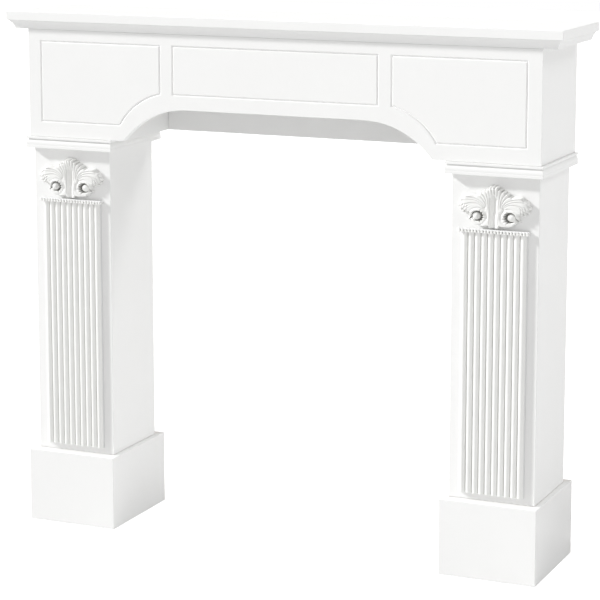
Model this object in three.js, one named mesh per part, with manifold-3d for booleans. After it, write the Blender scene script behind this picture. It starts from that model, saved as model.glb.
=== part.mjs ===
// A classical fireplace mantelpiece of painted boards: two legs with plinths, reeded fronts and leaf
// ornaments, an arched frieze box with incised panels, and a moulded shelf. Millimetres, +Z up.
// The origin is on the floor in the middle of the footprint. -Y is the room side, +Y is the wall side.

import * as THREE from 'three';
import { mergeVertices } from 'three/addons/utils/BufferGeometryUtils.js';
import Module from 'manifold-3d';

const { clamp, degToRad, lerp } = THREE.MathUtils;
const wasm = await Module();
wasm.setup();

// Overall
const depth = 240; // plinth and shelf, from the room side to the wall
const openingWidth = 737; // clear width between the two plinths
const boardThickness = 18; // all casing boards
const joint = 0.3; // glue line between neighbouring pieces

// Plinth blocks
const plinthWidth = 204;
const plinthHeight = 156;

// Shafts, set back from the plinth at the front and from the wall at the back
const shaftWidth = 181;
const shaftHeight = 656;
const shaftFrontSetback = 26;
const shaftRearSetback = 23;

// Reeded panels on the shafts
const reedCount = 10;
const reedPitch = 13.4;
const reedRise = 6;
const reedFacets = 8;
const reedBacking = 2.7;
const reedPanelMargin = 1.25; // flat strip beside the outer reeds
const reedPanelLift = 14; // plain foot left below the reeds

// Small capping strip over the reeds
const stripHeight = 6.4;
const stripOverhang = 4.8; // past the reeded panel, each side
const stripProjection = 11.1;
const stripFillet = 2.4; // square part behind the rounded nose
const stripFacets = 6;

// Leaf ornaments
const leafWidth = 152;
const leafHeight = 85;
const leafRelief = 22;
const leafEdge = 1.2; // thickness where the leaf thins out
const leafLift = 2.4; // above the capping strip
const leafHeadroom = 18.3; // plain strip left above the leaf
const leafColumns = 60;
const leafRows = 34;
const leafOutlineSteps = 132;

// Moulding between the shaft and the frieze
const capHeight = 24;
const capFrontProjection = 16.5; // past the shaft
const capSideProjection = 10.75;
const capTopFillet = 4.8;
const capFoot = 6;
const capHollow = 4.6; // depth of the scotia between the two
const capFacets = 8;

// Frieze box
const friezeHeight = 226.3;
const friezeFrontSetback = 15.5; // behind the shelf's front edge
const friezeSideOverhang = 4.4; // past the shaft
const archRise = 71;
const archRadius = 187;
const archFacets = 14;
const springSetback = 26.5; // the arch springs inside the plinth opening by this much

// Incised panels on the frieze
const grooveWidth = 4.8;
const grooveDepth = 2.4;
const panelTopMargin = 25;
const panelFootMargin = 33;
const panelEndMargin = 30.5;
const panelGap = 30;
const panelArchMargin = 31;
const centrePanelLength = 452;
const panelSpringMargin = 8.5;
const panelCurveRadius = 145;
const panelCurveFacets = 10;

// Bed moulding under the shelf, and the shelf
const bedHeight = 17.7;
const bedLip = 3.5; // flat soffit left under the shelf's edge
const bedFootProjection = 1; // past the frieze front
const bedHollow = 2.2;
const bedFacets = 6;
const shelfSideOverhang = 44.6; // past the frieze
const shelfThickness = 18.5;

// Levels, from the floor up
const shaftBottom = plinthHeight + joint;
const capBottom = shaftBottom + shaftHeight + joint;
const friezeBottom = capBottom + capHeight + joint;
const bedBottom = friezeBottom + friezeHeight + joint;
const shelfBottom = bedBottom + bedHeight + joint;
const leafBottom = shaftBottom + shaftHeight - leafHeadroom - leafHeight;
const stripBottom = leafBottom - leafLift - joint - stripHeight;
const reedBottom = shaftBottom + reedPanelLift;
const reedPanelHeight = stripBottom - joint - reedBottom;

// Places in plan
const wallPlane = depth / 2;
const frontPlane = -depth / 2;
const legCentre = openingWidth / 2 + plinthWidth / 2;
const shaftFront = frontPlane + shaftFrontSetback;
const shaftRear = wallPlane - shaftRearSetback;
const capFront = shaftFront - capFrontProjection;
const friezeFront = frontPlane + friezeFrontSetback;
const friezeHalfLength = legCentre + shaftWidth / 2 + friezeSideOverhang;
const shelfHalfLength = friezeHalfLength + shelfSideOverhang;
const springHalfWidth = openingWidth / 2 - springSetback;
const reedPanelWidth = reedCount * reedPitch + 2 * reedPanelMargin;

const paint = { color: '#f2f2f1', roughness: 0.42, metalness: 0 };
const ornamentPaint = { color: '#efefee', roughness: 0.48, metalness: 0 };

// Turns a closed geometry into a solid that can be joined and cut.
function toSolid(geometry) {
  geometry.deleteAttribute('normal');
  geometry.deleteAttribute('uv');
  const merged = mergeVertices(geometry, 1e-4);
  return new wasm.Manifold(
    new wasm.Mesh({
      numProp: 3,
      vertProperties: new Float32Array(merged.attributes.position.array),
      triVerts: new Uint32Array(merged.index.array),
    }),
  );
}

// Turns a solid back into a geometry.
function toGeometry(solid) {
  const mesh = solid.getMesh();
  const geometry = new THREE.BufferGeometry();
  geometry.setAttribute('position', new THREE.BufferAttribute(new Float32Array(mesh.vertProperties), 3));
  geometry.setIndex(new THREE.BufferAttribute(new Uint32Array(mesh.triVerts), 1));
  return geometry;
}

// A geometry from plain lists of coordinates and corner numbers.
function fromLists(positions, index) {
  const geometry = new THREE.BufferGeometry();
  geometry.setAttribute('position', new THREE.Float32BufferAttribute(positions, 3));
  geometry.setIndex(index);
  return geometry;
}

// A box given by its size, with its lowest corner at the given place.
function boxAt(x, y, z, sizeX, sizeY, sizeZ) {
  const geometry = new THREE.BoxGeometry(sizeX, sizeY, sizeZ);
  geometry.translate(x + sizeX / 2, y + sizeY / 2, z + sizeZ / 2);
  return geometry;
}

// A shape drawn in plan, made into an upright prism.
function uprightPrism(outline, height) {
  return new THREE.ExtrudeGeometry(new THREE.Shape(outline), { depth: height, bevelEnabled: false });
}

// A shape drawn on the front elevation, made into a slab that starts at y = 0 and runs back to the wall.
function elevationSlab(outline, thickness) {
  const geometry = new THREE.ExtrudeGeometry(new THREE.Shape(outline), {
    depth: thickness,
    bevelEnabled: false,
  });
  geometry.rotateX(Math.PI / 2);
  geometry.translate(0, thickness, 0);
  return geometry;
}

// Points on a circular arc from one point to another. A positive rise bows it to the left of its way.
function bowedArc(from, to, rise, facets) {
  const chord = to.clone().sub(from);
  const half = chord.length() / 2;
  const radius = (half * half + rise * rise) / (2 * Math.abs(rise));
  const left = new THREE.Vector2(-chord.y, chord.x).normalize().multiplyScalar(Math.sign(rise));
  const middle = from.clone().add(to).multiplyScalar(0.5);
  const centre = middle.clone().addScaledVector(left, Math.abs(rise) - radius);
  const sweep = 2 * Math.asin(Math.min(1, half / radius)) * -Math.sign(rise);
  const start = from.clone().sub(centre);
  const points = [];
  for (let i = 0; i <= facets; i++) {
    const turned = start.clone().rotateAround(new THREE.Vector2(0, 0), (sweep * i) / facets);
    points.push(turned.add(centre));
  }
  return points;
}

// A block whose front and side faces follow a profile and whose back is flat against the wall.
// Each profile point is an inset from the block's outer edge and a height, from the bottom up.
function mouldedBlock(width, blockDepth, profile) {
  const positions = [];
  const index = [];
  for (const point of profile) {
    const halfWidth = width / 2 - point.x;
    positions.push(-halfWidth, point.x, point.y);
    positions.push(halfWidth, point.x, point.y);
    positions.push(halfWidth, blockDepth, point.y);
    positions.push(-halfWidth, blockDepth, point.y);
  }
  const last = 4 * (profile.length - 1);
  for (let ring = 0; ring < last; ring += 4) {
    for (let corner = 0; corner < 4; corner++) {
      const a = ring + corner;
      const b = ring + ((corner + 1) % 4);
      index.push(a, b, b + 4);
      index.push(a, b + 4, a + 4);
    }
  }
  index.push(0, 2, 1, 0, 3, 2);
  index.push(last, last + 1, last + 2, last, last + 2, last + 3);
  return fromLists(positions, index);
}

// Front board of a casing, seen in plan, with its ends mitred at 45 degrees. Its face is at y = 0.
function mitredFrontOutline(halfWidth) {
  return [
    new THREE.Vector2(-halfWidth, 0),
    new THREE.Vector2(halfWidth, 0),
    new THREE.Vector2(halfWidth - boardThickness, boardThickness),
    new THREE.Vector2(-halfWidth + boardThickness, boardThickness),
  ];
}

// Side board of a casing, seen in plan, mitred to the front board. The side is -1 or 1.
function mitredSideOutline(halfWidth, side, rear) {
  const inner = halfWidth - boardThickness;
  const slack = joint * Math.SQRT2;
  return [
    new THREE.Vector2(side * halfWidth, slack),
    new THREE.Vector2(side * halfWidth, rear),
    new THREE.Vector2(side * inner, rear),
    new THREE.Vector2(side * inner, boardThickness + slack),
  ];
}

// Reeded panel: a thin backing with half-round reeds side by side. Its back is at y = 0.
function reededPanelGeometry() {
  const half = reedPanelWidth / 2;
  const outline = [new THREE.Vector2(half, 0), new THREE.Vector2(-half, 0)];
  outline.push(new THREE.Vector2(-half, -reedBacking));
  for (let i = 0; i < reedCount; i++) {
    const left = new THREE.Vector2(-half + reedPanelMargin + i * reedPitch, -reedBacking);
    const right = new THREE.Vector2(left.x + reedPitch, -reedBacking);
    const reed = bowedArc(left, right, -reedRise, reedFacets);
    outline.push(...(i === 0 ? reed : reed.slice(1)));
  }
  outline.push(new THREE.Vector2(half, -reedBacking));
  return uprightPrism(outline, reedPanelHeight);
}

// Capping strip: a small bar with a rounded nose that runs across the top of the reeds.
function stripGeometry() {
  const length = reedPanelWidth + 2 * stripOverhang;
  const noseRise = Math.min(stripProjection - stripFillet, stripHeight / 2);
  const shoulder = stripProjection - noseRise;
  const top = new THREE.Vector2(shoulder, stripHeight);
  const bottom = new THREE.Vector2(shoulder, 0);
  const section = [new THREE.Vector2(0, 0), ...bowedArc(bottom, top, -noseRise, stripFacets)];
  section.push(new THREE.Vector2(0, stripHeight));
  const geometry = uprightPrism(section, length);
  geometry.rotateX(Math.PI / 2);
  geometry.rotateZ(-Math.PI / 2);
  geometry.translate(length / 2, 0, 0);
  return geometry;
}

// Leaf ornament. The right half is drawn on its own plane, across and up, in units of its own. The
// drawing is then stretched to the leaf's width, height and relief. A lobe is a rounded ridge along a line.
const leafFocus = new THREE.Vector2(0, 41); // the fan's flutes open round this point
const eye = { at: new THREE.Vector2(29.5, 21), corner: new THREE.Vector2(48.5, 14.5), floor: 1.6 };
const boss = { at: new THREE.Vector2(33.8, 20.2), radius: 7.2, height: 11.5 };
const lobeSteps = 10;

// A ridge from root to tip, bent towards its control point, with its widths and heights at both ends.
function makeLobe(root, control, tip, widths, heights) {
  const curve = new THREE.QuadraticBezierCurve(root, control, tip);
  return { points: curve.getPoints(lobeSteps), widths, heights };
}

// A ridge that runs partly round the eye and then to its outer corner. Angles are in degrees from the
// right, turning left.
function makeCurl(radius, fromAngle, toAngle, end, widths, heights) {
  const points = [];
  for (let i = 0; i <= lobeSteps; i++) {
    const angle = degToRad(lerp(fromAngle, toAngle, i / lobeSteps));
    points.push(new THREE.Vector2(Math.cos(angle), Math.sin(angle)).multiplyScalar(radius).add(eye.at));
  }
  points.push(eye.corner.clone().add(end));
  return { points, widths, heights };
}

// The middle: flutes on both sides of a channel, which open into a fan with a rounded crown.
function fanLobes() {
  const lobes = [];
  const flutes = 4;
  for (let i = 0; i < flutes; i++) {
    const share = i / (flutes - 1);
    const lean = degToRad(lerp(7, 54, share));
    const tip = new THREE.Vector2(Math.sin(lean), Math.cos(lean)).multiplyScalar(37).add(leafFocus);
    const root = new THREE.Vector2(lerp(7, 15, share), lerp(4, 14, share));
    const control = new THREE.Vector2(lerp(6.5, 14, share), 44);
    lobes.push(makeLobe(root, control, tip, [2.9, 5], [9, lerp(21, 16.5, share)]));
  }
  return lobes;
}

// The side: fingers that leave the middle together, arch over the eye and droop at their tips.
function fingerLobes() {
  const lobes = [];
  const fingers = 6;
  for (let i = 0; i < fingers; i++) {
    const share = i / (fingers - 1);
    const fall = degToRad(lerp(68, -42, share));
    const reach = new THREE.Vector2(29 * Math.cos(fall), 21 * Math.sin(fall));
    const tip = new THREE.Vector2(41, 39).add(reach);
    const control = new THREE.Vector2(lerp(25, 38, share), lerp(66, 50, share));
    const root = new THREE.Vector2(lerp(13, 16, share), lerp(42, 33, share));
    lobes.push(makeLobe(root, control, tip, [5, lerp(7.6, 4, share)], [14, lerp(12, 8.5, share)]));
  }
  return lobes;
}

const hollow = makeLobe(eye.at, eye.at, eye.corner, [12.4, 2.5], [1, 1]);
const channel = makeLobe(new THREE.Vector2(0, 3), leafFocus, new THREE.Vector2(0, 74), [7, 12], [5, 16]);
const palm = makeLobe(
  new THREE.Vector2(15, 34),
  new THREE.Vector2(36, 54),
  new THREE.Vector2(58, 37),
  [8, 11],
  [10, 7.5],
);
const blade = [channel, palm, ...fanLobes(), ...fingerLobes()];
const brow = makeCurl(14.8, 185, 20, new THREE.Vector2(2.2, 1.2), [4.4, 2.2], [13.5, 8]);
const rim = makeCurl(14.2, 176, 318, new THREE.Vector2(3, -0.6), [5.4, 2], [12.5, 6.5]);
const leafCrown = Math.max(...blade.flatMap((lobe) => lobe.heights));

// Height of one ridge over a point of the drawing.
function ridgeHeight(lobe, point) {
  let best = 0;
  const steps = lobe.points.length - 1;
  for (let i = 0; i < steps; i++) {
    const a = lobe.points[i];
    const b = lobe.points[i + 1];
    const way = b.clone().sub(a);
    const along = clamp(point.clone().sub(a).dot(way) / way.lengthSq(), 0, 1);
    const share = (i + along) / steps;
    const width = lerp(lobe.widths[0], lobe.widths[1], share);
    const off = a.clone().addScaledVector(way, along).distanceTo(point) / width;
    if (off < 1) {
      const crown = lerp(lobe.heights[0], lobe.heights[1], share * share);
      best = Math.max(best, crown * Math.sqrt(1 - off * off));
    }
  }
  return best;
}

// Height of the whole leaf over a point of the drawing. Both sides are alike.
function leafSurface(x, y) {
  const point = new THREE.Vector2(Math.abs(x), y);
  const inHollow = ridgeHeight(hollow, point) > 0;
  let height = 0;
  for (const lobe of blade) {
    height = Math.max(height, ridgeHeight(lobe, point));
  }
  if (inHollow) height = eye.floor;
  height = Math.max(height, ridgeHeight(brow, point), ridgeHeight(rim, point));
  const offBoss = Math.min(1, point.distanceTo(boss.at) / boss.radius);
  return Math.max(height, boss.height * Math.sqrt(1 - offBoss * offBoss));
}

// The leaf's outline: the farthest point that has any height, in each direction from the fan's focus.
function leafOutline() {
  const points = [];
  const farthest = 100;
  for (let i = 0; i < leafOutlineSteps; i++) {
    const angle = (2 * Math.PI * i) / leafOutlineSteps;
    const way = new THREE.Vector2(Math.cos(angle), Math.sin(angle));
    let reach = farthest;
    while (reach > 1 && leafSurface(leafFocus.x + way.x * reach, leafFocus.y + way.y * reach) === 0) {
      reach -= 0.4;
    }
    points.push(way.multiplyScalar(reach).add(leafFocus));
  }
  return points;
}

// Leaf: the drawing's surface over a grid, cut to its outline, with a flat back at y = 0.
function leafGeometry() {
  const outline = leafOutline();
  const frame = new THREE.Box2().setFromPoints(outline);
  const drawn = frame.getSize(new THREE.Vector2());
  const scale = new THREE.Vector3(leafWidth / drawn.x, leafHeight / drawn.y, leafRelief / leafCrown);
  const foot = frame.min.y;
  const gridMargin = 2;
  frame.expandByScalar(gridMargin);
  const stepX = (frame.max.x - frame.min.x) / leafColumns;
  const stepY = (frame.max.y - frame.min.y) / leafRows;
  const front = [];
  const edge = [];
  const number = (column, row) => row * (leafColumns + 1) + column;
  for (let row = 0; row <= leafRows; row++) {
    for (let column = 0; column <= leafColumns; column++) {
      const x = frame.min.x + column * stepX;
      const y = frame.min.y + row * stepY;
      const height = Math.max(leafSurface(x, y) * scale.z, leafEdge);
      front.push(x * scale.x, -height, (y - foot) * scale.y);
    }
  }
  const index = [];
  for (let row = 0; row < leafRows; row++) {
    for (let column = 0; column < leafColumns; column++) {
      const a = number(column, row);
      const b = number(column + 1, row);
      const c = number(column + 1, row + 1);
      const d = number(column, row + 1);
      if (column < leafColumns / 2) {
        index.push(a, b, c, a, c, d);
      } else {
        index.push(a, b, d, b, c, d);
      }
    }
  }
  for (let column = 0; column < leafColumns; column++) edge.push(number(column, 0));
  for (let row = 0; row < leafRows; row++) edge.push(number(leafColumns, row));
  for (let column = leafColumns; column > 0; column--) edge.push(number(column, leafRows));
  for (let row = leafRows; row > 0; row--) edge.push(number(0, row));
  const back = front.length / 3;
  for (const corner of edge) front.push(front[3 * corner], 0, front[3 * corner + 2]);
  const middle = front.length / 3;
  front.push(0, 0, leafHeight / 2);
  for (let i = 0; i < edge.length; i++) {
    const next = (i + 1) % edge.length;
    index.push(edge[i], back + i, back + next, edge[i], back + next, edge[next]);
    index.push(middle, back + next, back + i);
  }
  const rimLine = outline.map((p) => new THREE.Vector2(p.x * scale.x, (p.y - foot) * scale.y));
  const prism = elevationSlab(rimLine, 4 * leafRelief);
  prism.translate(0, -2 * leafRelief, 0);
  return toGeometry(toSolid(fromLists(front, index)).intersect(toSolid(prism)));
}

// Moulding over the shaft: a fillet, a scotia and a foot, on the front and both sides.
function capGeometry() {
  const neckTop = capHeight - capTopFillet;
  const hollow = bowedArc(
    new THREE.Vector2(0.8, capFoot),
    new THREE.Vector2(capHollow, neckTop),
    capHollow * 0.42,
    capFacets,
  );
  const profile = [new THREE.Vector2(0, 0), new THREE.Vector2(0, capFoot - 0.8), ...hollow];
  profile.push(new THREE.Vector2(0, neckTop), new THREE.Vector2(0, capHeight));
  return mouldedBlock(shaftWidth + 2 * capSideProjection, wallPlane - capFront, profile);
}

// The arch's half outline, from the springing to the flat head, on the right-hand side.
function archPoints() {
  const centreHeight = archRise - archRadius;
  const run = Math.sqrt(archRadius ** 2 - centreHeight ** 2);
  const centreX = springHalfWidth - run;
  const sweep = Math.asin(run / archRadius);
  const points = [];
  for (let i = 0; i <= archFacets; i++) {
    const angle = sweep * (1 - i / archFacets);
    points.push(
      new THREE.Vector2(centreX + archRadius * Math.sin(angle), centreHeight + archRadius * Math.cos(angle)),
    );
  }
  return points;
}

const mirrored = (points) => points.map((p) => new THREE.Vector2(-p.x, p.y)).reverse();

// A ring-shaped cutter with a V section that follows a closed line on the front face.
function grooveCutter(line) {
  const proud = 1;
  const reach = (grooveWidth / 2) * (1 + proud / grooveDepth);
  const positions = [];
  const index = [];
  line.forEach((point, i) => {
    const before = line[(i + line.length - 1) % line.length];
    const after = line[(i + 1) % line.length];
    const arriving = point.clone().sub(before).normalize();
    const leaving = after.clone().sub(point).normalize();
    const mitre = new THREE.Vector2(arriving.y + leaving.y, -arriving.x - leaving.x);
    mitre.multiplyScalar(reach / (1 + arriving.dot(leaving)));
    positions.push(point.x + mitre.x, -proud, point.y + mitre.y);
    positions.push(point.x - mitre.x, -proud, point.y - mitre.y);
    positions.push(point.x, grooveDepth, point.y);
    for (let side = 0; side < 3; side++) {
      const a = 3 * i + side;
      const b = 3 * i + ((side + 1) % 3);
      const c = (a + 3) % (3 * line.length);
      const d = (b + 3) % (3 * line.length);
      index.push(a, d, b, a, c, d);
    }
  });
  return fromLists(positions, index);
}

// Closed lines of the three incised panels, running anticlockwise as seen from the room.
function panelLines() {
  const top = friezeHeight - panelTopMargin;
  const low = archRise + panelArchMargin;
  const half = centrePanelLength / 2;
  const inner = half + panelGap;
  const outer = friezeHalfLength - panelEndMargin;
  const middle = [
    new THREE.Vector2(-half, low),
    new THREE.Vector2(half, low),
    new THREE.Vector2(half, top),
    new THREE.Vector2(-half, top),
  ];
  const curveEnd = new THREE.Vector2(springHalfWidth + panelSpringMargin, panelFootMargin);
  const curveStart = new THREE.Vector2(inner, low);
  const chord = curveEnd.distanceTo(curveStart);
  const sagitta = panelCurveRadius - Math.sqrt(panelCurveRadius ** 2 - (chord / 2) ** 2);
  const right = [
    ...bowedArc(curveStart, curveEnd, sagitta, panelCurveFacets),
    new THREE.Vector2(outer, panelFootMargin),
    new THREE.Vector2(outer, top),
    new THREE.Vector2(inner, top),
  ];
  return [middle, right, mirrored(right)];
}

// Frieze front: a board with mitred ends, the arch cut out of its lower edge and incised panel lines.
function friezeFrontGeometry() {
  const arch = archPoints();
  const outline = [
    new THREE.Vector2(-friezeHalfLength, 0),
    ...mirrored(arch).reverse(),
    ...arch.slice().reverse(),
    new THREE.Vector2(friezeHalfLength, 0),
    new THREE.Vector2(friezeHalfLength, friezeHeight),
    new THREE.Vector2(-friezeHalfLength, friezeHeight),
  ];
  const ends = uprightPrism(mitredFrontOutline(friezeHalfLength), friezeHeight);
  let board = toSolid(elevationSlab(outline, boardThickness)).intersect(toSolid(ends));
  for (const line of panelLines()) {
    board = board.subtract(toSolid(grooveCutter(line)));
  }
  return toGeometry(board);
}

// Bed moulding: a board with a hollow edge that leads from the frieze out to the shelf.
function bedGeometry() {
  const foot = friezeFrontSetback - bedFootProjection;
  const hollow = bowedArc(
    new THREE.Vector2(foot, 0),
    new THREE.Vector2(bedLip, bedHeight),
    -bedHollow,
    bedFacets,
  );
  return mouldedBlock(2 * shelfHalfLength, depth, hollow);
}

const mantelpiece = new THREE.Group();
mantelpiece.name = 'mantelpiece';

// Adds one named piece to a group, at a place in it.
function addPiece(parent, name, geometry, look, x, y, z) {
  const mesh = new THREE.Mesh(geometry, new THREE.MeshStandardMaterial(look));
  mesh.name = name;
  mesh.position.set(x, y, z);
  parent.add(mesh);
}

// The two legs are alike. Each one is a group that stands on the floor at its own centre.
for (const [side, direction] of [['left', -1], ['right', 1]]) {
  const leg = new THREE.Group();
  leg.position.x = direction * legCentre;
  const panelBack = shaftFront - joint;
  const plinthHalf = plinthWidth / 2;
  const shaftHalf = shaftWidth / 2;
  const shaftDepth = shaftRear - shaftFront;
  const plinthFront = uprightPrism(mitredFrontOutline(plinthHalf), plinthHeight);
  addPiece(leg, `plinth_front_${side}`, plinthFront, paint, 0, frontPlane, 0);
  const lidInset = boardThickness + joint;
  const lidSize = new THREE.Vector3(2 * (plinthHalf - lidInset), depth - lidInset, boardThickness);
  const lid = boxAt(-lidSize.x / 2, lidInset, plinthHeight - boardThickness, ...lidSize);
  addPiece(leg, `plinth_top_${side}`, lid, paint, 0, frontPlane, 0);
  const shaftBoard = uprightPrism(mitredFrontOutline(shaftHalf), shaftHeight);
  addPiece(leg, `shaft_front_${side}`, shaftBoard, paint, 0, shaftFront, shaftBottom);
  for (const [place, turn] of [['outer', direction], ['inner', -direction]]) {
    const plinthSide = uprightPrism(mitredSideOutline(plinthHalf, turn, depth), plinthHeight);
    addPiece(leg, `plinth_${place}_${side}`, plinthSide, paint, 0, frontPlane, 0);
    const shaftSide = uprightPrism(mitredSideOutline(shaftHalf, turn, shaftDepth), shaftHeight);
    addPiece(leg, `shaft_${place}_${side}`, shaftSide, paint, 0, shaftFront, shaftBottom);
  }
  addPiece(leg, `reeded_panel_${side}`, reededPanelGeometry(), ornamentPaint, 0, panelBack, reedBottom);
  addPiece(leg, `beaded_strip_${side}`, stripGeometry(), ornamentPaint, 0, panelBack, stripBottom);
  addPiece(leg, `leaf_ornament_${side}`, leafGeometry(), ornamentPaint, 0, panelBack, leafBottom);
  addPiece(leg, `capital_moulding_${side}`, capGeometry(), paint, 0, capFront, capBottom);
  mantelpiece.add(leg);
}

// The frieze box: front and back boards, and at each end an end board, a cheek and a soffit board.
const frieze = new THREE.Group();
frieze.position.z = friezeBottom;
const innerFront = friezeFront + boardThickness + joint;
const backBoardFront = wallPlane - boardThickness;
const innerDepth = backBoardFront - joint - innerFront;
const backBoardHalf = friezeHalfLength - boardThickness - joint;
const backBoard = boxAt(-backBoardHalf, 0, 0, 2 * backBoardHalf, boardThickness, friezeHeight);
addPiece(frieze, 'frieze_front', friezeFrontGeometry(), paint, 0, friezeFront, 0);
addPiece(frieze, 'frieze_back', backBoard, paint, 0, backBoardFront, 0);
for (const [side, direction] of [['left', -1], ['right', 1]]) {
  const endOutline = mitredSideOutline(friezeHalfLength, direction, wallPlane - friezeFront);
  const endBoard = uprightPrism(endOutline, friezeHeight);
  addPiece(frieze, `frieze_end_${side}`, endBoard, paint, 0, friezeFront, 0);
  const cheek = boxAt(-boardThickness / 2, 0, 0, boardThickness, innerDepth, friezeHeight);
  const cheekX = direction * (springHalfWidth + boardThickness / 2);
  addPiece(frieze, `frieze_cheek_${side}`, cheek, paint, cheekX, innerFront, 0);
  const soffitLength = backBoardHalf - springHalfWidth - boardThickness - joint;
  const soffit = boxAt(-soffitLength / 2, 0, 0, soffitLength, innerDepth, boardThickness);
  const soffitX = direction * (backBoardHalf - soffitLength / 2);
  addPiece(frieze, `frieze_soffit_${side}`, soffit, paint, soffitX, innerFront, 0);
}
mantelpiece.add(frieze);

// The top: the bed moulding and the shelf.
const shelf = boxAt(-shelfHalfLength, 0, 0, 2 * shelfHalfLength, depth, shelfThickness);
addPiece(mantelpiece, 'bed_moulding', bedGeometry(), paint, 0, frontPlane, bedBottom);
addPiece(mantelpiece, 'shelf', shelf, paint, 0, frontPlane, shelfBottom);

export default mantelpiece;
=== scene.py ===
import math

import bmesh
import bpy
import numpy as np
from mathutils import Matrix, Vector


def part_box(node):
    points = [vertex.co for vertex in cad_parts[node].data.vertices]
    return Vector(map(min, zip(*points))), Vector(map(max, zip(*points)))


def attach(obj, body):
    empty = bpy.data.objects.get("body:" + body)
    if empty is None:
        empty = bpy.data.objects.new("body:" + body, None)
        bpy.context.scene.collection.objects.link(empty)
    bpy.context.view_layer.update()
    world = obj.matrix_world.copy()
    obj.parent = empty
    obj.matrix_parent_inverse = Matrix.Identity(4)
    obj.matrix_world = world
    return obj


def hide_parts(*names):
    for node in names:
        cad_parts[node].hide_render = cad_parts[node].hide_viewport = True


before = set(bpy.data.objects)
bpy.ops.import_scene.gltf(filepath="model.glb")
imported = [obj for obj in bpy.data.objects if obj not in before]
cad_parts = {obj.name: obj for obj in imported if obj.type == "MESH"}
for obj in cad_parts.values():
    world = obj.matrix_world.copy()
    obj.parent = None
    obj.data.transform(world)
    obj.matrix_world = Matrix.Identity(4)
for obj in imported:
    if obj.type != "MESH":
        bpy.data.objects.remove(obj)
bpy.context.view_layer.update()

mm = 0.001
sides = ("left", "right")
facing = 0.9  # a face looks along an axis when its normal has more than this share of it


# Nodes and materials

def srgbHex(text):
    channels = [int(text[i:i + 2], 16) / 255 for i in (1, 3, 5)]
    linear = [c / 12.92 if c <= 0.04045 else ((c + 0.055) / 1.055) ** 2.4 for c in channels]
    return (*linear, 1.0)


def addNode(tree, kind, settings=None, links=None):
    node = tree.nodes.new(kind)
    for name, value in (settings or {}).items():
        if isinstance(name, int) or name in node.inputs:
            node.inputs[name].default_value = value
        else:
            setattr(node, name, value)
    for name, source in (links or {}).items():
        tree.links.new(source, node.inputs[name])
    return node


def newMaterial(name):
    material = bpy.data.materials.new(name)
    material.use_nodes = True
    material.node_tree.nodes.clear()
    return material, material.node_tree


# A noise pattern whose blobs are about sizeMm across.
def noiseOf(tree, coords, sizeMm, detail=2.0):
    settings = {"Scale": 1 / (sizeMm * mm), "Detail": detail, "Roughness": 0.55}
    return addNode(tree, "ShaderNodeTexNoise", settings, {"Vector": coords})


# Maps a 0 to 1 signal to a range of values.
def spread(tree, signal, low, high):
    mapped = addNode(tree, "ShaderNodeMapRange", {"To Min": low, "To Max": high}, {"Value": signal})
    return mapped.outputs["Result"]


# Mixes two colours by a signal. The first is a hex value, or the socket of another node.
# Inputs 6 and 7 of this node are its colours, and output 2 is its result in colour.
def blendColours(tree, signal, first, second):
    node = addNode(tree, "ShaderNodeMix", {"data_type": "RGBA"})
    if isinstance(first, str):
        node.inputs[6].default_value = srgbHex(first)
    else:
        tree.links.new(first, node.inputs[6])
    node.inputs[7].default_value = srgbHex(second)
    tree.links.new(signal, node.inputs[0])
    return node.outputs[2]


# Satin lacquer sprayed on sanded board: nearly even white, with a faint orange peel and wide, soft
# changes of sheen.
paintLook = {
    "light": "#f6f6f5", "shade": "#f2f2f1", "cloudMm": 140, "fineMm": 9, "fineShare": 0.35,
    "toneReach": 0.75, "roughLow": 0.36, "roughHigh": 0.46, "peelMm": 1.6, "peelDepthMm": 0.02,
    "waveMm": 26, "waveDepthMm": 0.03,
}


# Where the mesh has a shade value, painted shade darkens the colour towards a grey, for the shadow in a
# hollow.
def makePaint(name, look, paintedShadeColour=None):
    material, tree = newMaterial(name)
    coords = addNode(tree, "ShaderNodeTexCoord").outputs["Object"]
    cloud = noiseOf(tree, coords, look["cloudMm"])
    fine = noiseOf(tree, coords, look["fineMm"], 3.0)
    tone = addNode(tree, "ShaderNodeMath", {"operation": "MULTIPLY_ADD", 1: look["fineShare"]},
                   {0: fine.outputs[0], 2: cloud.outputs[0]})
    amount = spread(tree, tone.outputs[0], 0, look["toneReach"])
    colour = blendColours(tree, amount, look["light"], look["shade"])
    if paintedShadeColour:
        # Painted shade: the mesh's shade value mixes in the grey, standing in for shadow at the bottom of
        # hollows.
        shadeAmount = addNode(tree, "ShaderNodeAttribute", {"attribute_name": "shade"})
        colour = blendColours(tree, shadeAmount.outputs["Fac"], colour, paintedShadeColour)
    rough = spread(tree, fine.outputs[0], look["roughLow"], look["roughHigh"])
    peel = noiseOf(tree, coords, look["peelMm"], 1.0)
    wave = noiseOf(tree, coords, look["waveMm"], 1.0)
    waves = addNode(tree, "ShaderNodeBump", {"Strength": 1.0, "Distance": look["waveDepthMm"] * mm},
                    {"Height": wave.outputs[0]})
    bump = addNode(tree, "ShaderNodeBump", {"Strength": 1.0, "Distance": look["peelDepthMm"] * mm},
                   {"Height": peel.outputs[0], "Normal": waves.outputs[0]})
    shader = addNode(tree, "ShaderNodeBsdfPrincipled", {"IOR": 1.48, "Specular IOR Level": 0.4},
                     {"Base Color": colour, "Roughness": rough, "Normal": bump.outputs[0]})
    addNode(tree, "ShaderNodeOutputMaterial", {}, {"Surface": shader.outputs[0]})
    return material


# Moulded composition ornament under the same lacquer: thicker, softer paint that runs into the hollows.
ornamentLook = dict(paintLook, light="#f6f6f4", shade="#efefed", cloudMm=22, fineMm=3, roughLow=0.4,
                    roughHigh=0.52, peelMm=1.1, peelDepthMm=0.03, waveMm=6, waveDepthMm=0.02)

# Bare fibreboard on the hidden faces: tan, matt and flecked with short fibres.
fibreLook = {
    "light": "#cbb08a", "dark": "#a98c64", "toneReach": 2.2, "fibreMm": 1.4, "cloudMm": 60,
    "depthMm": 0.05,
}


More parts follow.
